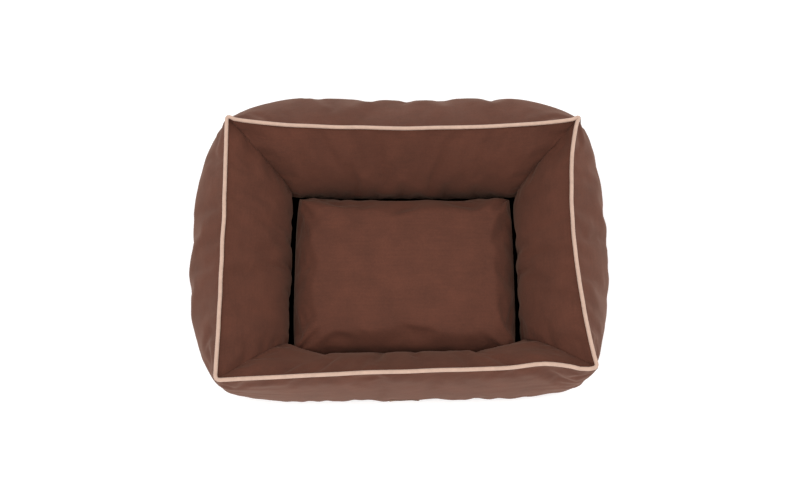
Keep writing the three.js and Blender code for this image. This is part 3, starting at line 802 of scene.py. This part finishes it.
class PETBED_OT_piping(bpy.types.Operator):
    """Build the piping: a bias tape round a filler cord"""

    bl_idname = "petbed.piping"
    bl_label = "Piping"

    def execute(self, context):
        settings = context.scene.pet_bed_walls
        points = ridge_loop(settings)
        sleeve = finish_piece(
            "piping_tape", tube("piping_tape", points, settings.piping_radius), "bed", material("tape"))
        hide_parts("piping_sleeve")
        cord = finish_piece(
            "piping_filler", tube("piping_filler", points, 1.6 * MM, 8), "bed", material("cord"))
        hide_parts("piping_cord")
        return {"FINISHED"}


class PETBED_OT_cushion(bpy.types.Operator):
    """Build the loose cushion: filling, top and bottom cloth"""

    bl_idname = "petbed.cushion"
    bl_label = "Cushion"

    def execute(self, context):
        settings = context.scene.pet_bed_cushion
        half_x = CUSHION_HIGH[0] + settings.overfill
        half_y = (CUSHION_HIGH[1] - CUSHION_LOW[1]) / 2 + settings.overfill
        mid_y = (CUSHION_HIGH[1] + CUSHION_LOW[1]) / 2 + 2 * MM
        pull = settings.corner_pull

        def place(x, y, z):
            sx, sy = math.sin((x - 0.5) * math.pi), math.sin((y - 0.5) * math.pi)
            power, lift = (12, 0.3) if z > 0.5 else (8, 0.5)
            swell = ((1 - sx ** power) * (1 - sy ** power)) ** lift
            if z > 0.5:
                swell *= 0.8 + 0.12 * (1 - sx * sx) * (1 - sy * sy)
            end = CUSHION_HIGH[2] if z > 0.5 else CUSHION_LOW[2]
            start = CUSHION_SEAM + (2 * MM if z > 0.5 else -2 * MM)
            # Folds fan out from each corner of the top.
            corner = Vector(((1 - abs(sx)) * half_x, (1 - abs(sy)) * half_y))
            away = corner.length
            angle = math.atan2(corner.y, corner.x + 1e-9)
            swell -= 0.05 * math.exp(-(away / (60 * MM)) ** 2) * math.sin(7 * angle + 2 * sx + sy) if z > 0.5 else 0
            return Vector((
                half_x * sx * (1 - pull * sy ** 4),
                mid_y + half_y * sy * (1 - pull * sx ** 4),
                mix(start, end, swell),
            ))

        bm = grid_box((58, 46, 0), place, ((2 * half_x, 0), (2 * half_y, 1)))
        bm.verts.ensure_lookup_table()
        sides = bm.faces.layers.int["side"]
        seam = {v.index for f in bm.faces if f[sides] not in (4, 5) for v in f.verts}
        skin = stuffed(bm, "cushion", dict.fromkeys(seam, 1.0), settings.pressure, settings.slack, settings.cap)
        lay_behind_zip(skin, "cushion_zip", 20 * MM)
        for name, keep in (("cushion_top_cloth", {5}), ("cushion_bottom_cloth", {0, 1, 2, 3, 4})):
            piece = finish_piece(name, part_of(skin, "part", keep), "cushion", material("suede"))
            as_cloth(piece, 1.2 * MM)
            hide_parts(name.replace("cloth", "panel"))
        filling = finish_piece(
            "cushion_filling", shrunk(skin, "part", 2.4 * MM), "cushion", material("wadding"))
        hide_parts("cushion_fill")
        return {"FINISHED"}


def label_on(wall, name, left, right, bottom, top):
    """A stitched label that lies on a wall's outer cloth between two places in x and two in z."""
    columns, rows = 16, 8
    bm = bmesh.new()
    bmesh.ops.create_grid(bm, x_segments=columns, y_segments=rows, size=0.5)
    for vert in bm.verts:
        side = -1 if wall == "front" else 1
        y = side * 0.3
        vert.co = Vector((mix(left, right, vert.co.x + 0.5), y, mix(bottom, top, vert.co.y + 0.5)))
    bm.normal_update()
    slot = {"front_label": "label"}.get(name, name)
    piece = finish_piece(f"{name}_cloth", mesh_of(bm, name), "bed", material(slot))
    wrap = piece.modifiers.new("Lie", "SHRINKWRAP")
    wrap.target = bpy.data.objects[f"outer_cloth_{wall}"]
    wrap.wrap_method = "PROJECT"
    wrap.use_project_y = True
    wrap.use_negative_direction = wrap.use_positive_direction = True
    wrap.offset = 0.8 * MM
    solid = piece.modifiers.new("Cloth", "SOLIDIFY")
    solid.thickness = 0.5 * MM
    solid.offset = 0
    baked(piece)
    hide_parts(name)
    return piece


class PETBED_OT_labels(bpy.types.Operator):
    """Build the blank labels on the front and the back"""

    bl_idname = "petbed.labels"
    bl_label = "Labels"

    def execute(self, context):
        for wall, name in (("front", "front_label"), ("back", "care_label")):
            left, right = low(name)[0], high(name)[0]
            bottom, top = low(name)[2], high(name)[2]
            label_on(wall, name, left, right, bottom, top)
        return {"FINISHED"}


class PETBED_OT_fittings(bpy.types.Operator):
    """Give the zips their finishes"""

    bl_idname = "petbed.fittings"
    bl_label = "Zips"

    def execute(self, context):
        slots = {entry["node"]: entry["material_slot"] for entry in frame["record"]["subparts"]}
        for name, piece in frame["nodes"].items():
            if piece.hide_render:
                continue
            finish = material(slots[name])
            if not piece.material_slots:
                piece.data.materials.append(finish)
            for entry in piece.material_slots:
                entry.material = finish
        return {"FINISHED"}


class PETBED_OT_stage(bpy.types.Operator):
    """Build the floor, lights and camera"""

    bl_idname = "petbed.stage"
    bl_label = "Stage"

    def execute(self, context):
        studio = context.scene.pet_bed_studio
        bm = bmesh.new()
        bmesh.ops.create_grid(bm, x_segments=1, y_segments=1, size=6)
        floor = bpy.data.objects.new("floor", mesh_of(bm, "floor"))
        context.scene.collection.objects.link(floor)
        paper, _, _ = new_material(
            "white_paper", Base_Color=(0.93, 0.93, 0.93, 1), Roughness=1.0, Specular_IOR_Level=0.0,
            Emission_Color=(1, 1, 1, 1), Emission_Strength=0.25)
        floor.data.materials.append(paper)
        world = bpy.data.worlds.new("studio")
        world.use_nodes = True
        background = world.node_tree.nodes["Background"]
        background.inputs["Color"].default_value = (1, 1, 1, 1)
        background.inputs["Strength"].default_value = studio.light
        context.scene.world = world
        for name, place, size, power in (
            ("key", (-0.5, -0.9, 1.9), 1.6, 14),
            ("fill", (0.9, 0.5, 1.8), 1.6, 7),
        ):
            data = bpy.data.lights.new(name, "AREA")
            data.size = size
            data.energy = power
            lamp = bpy.data.objects.new(name, data)
            lamp.location = place
            lamp.rotation_euler = (-Vector(place)).to_track_quat("-Z", "Y").to_euler()
            context.scene.collection.objects.link(lamp)
        camera = bpy.data.objects.new("camera", bpy.data.cameras.new("camera"))
        camera.data.lens = studio.lens
        camera.data.sensor_width = 36
        aim = Vector((-6.6 * MM, -30 * MM, TOP - 2 * MM))
        away = Vector((0, -math.cos(studio.elevation), math.sin(studio.elevation)))
        camera.location = aim + away * studio.distance
        camera.rotation_euler = (-away).to_track_quat("-Z", "Y").to_euler()
        context.scene.collection.objects.link(camera)
        context.scene.camera = camera
        context.scene.view_settings.view_transform = "Standard"
        return {"FINISHED"}


OPERATORS = (
    PETBED_OT_base,
    PETBED_OT_walls,
    PETBED_OT_piping,
    PETBED_OT_cushion,
    PETBED_OT_labels,
    PETBED_OT_fittings,
    PETBED_OT_stage,
)


class PETBED_PT_panel(bpy.types.Panel):
    """Sidebar panel with the bed's settings and builders"""

    bl_label = "Pet Bed"
    bl_idname = "PETBED_PT_panel"
    bl_space_type = "VIEW_3D"
    bl_region_type = "UI"
    bl_category = "Pet Bed"

    def draw(self, context):
        for group in ("pet_bed_walls", "pet_bed_cushion", "pet_bed_colours", "pet_bed_studio"):
            settings = getattr(context.scene, group)
            box = self.layout.box()
            for key in settings.__annotations__:
                box.prop(settings, key)
        for operator in OPERATORS:
            self.layout.operator(operator.bl_idname)


GROUPS = {
    "pet_bed_walls": PetBedWalls,
    "pet_bed_cushion": PetBedCushion,
    "pet_bed_colours": PetBedColours,
    "pet_bed_studio": PetBedStudio,
}


def register():
    for group in (*GROUPS.values(), *OPERATORS, PETBED_PT_panel):
        bpy.utils.register_class(group)
    for name, group in GROUPS.items():
        setattr(bpy.types.Scene, name, PointerProperty(type=group))


def unregister():
    for name in GROUPS:
        delattr(bpy.types.Scene, name)
    for group in reversed((*GROUPS.values(), *OPERATORS, PETBED_PT_panel)):
        bpy.utils.unregister_class(group)


def main():
    register()
    bpy.ops.petbed.stage()
    bpy.ops.petbed.base()
    bpy.ops.petbed.walls()
    bpy.ops.petbed.piping()
    bpy.ops.petbed.cushion()
    bpy.ops.petbed.labels()
    bpy.ops.petbed.fittings()


if __name__ == "__main__":
    main()
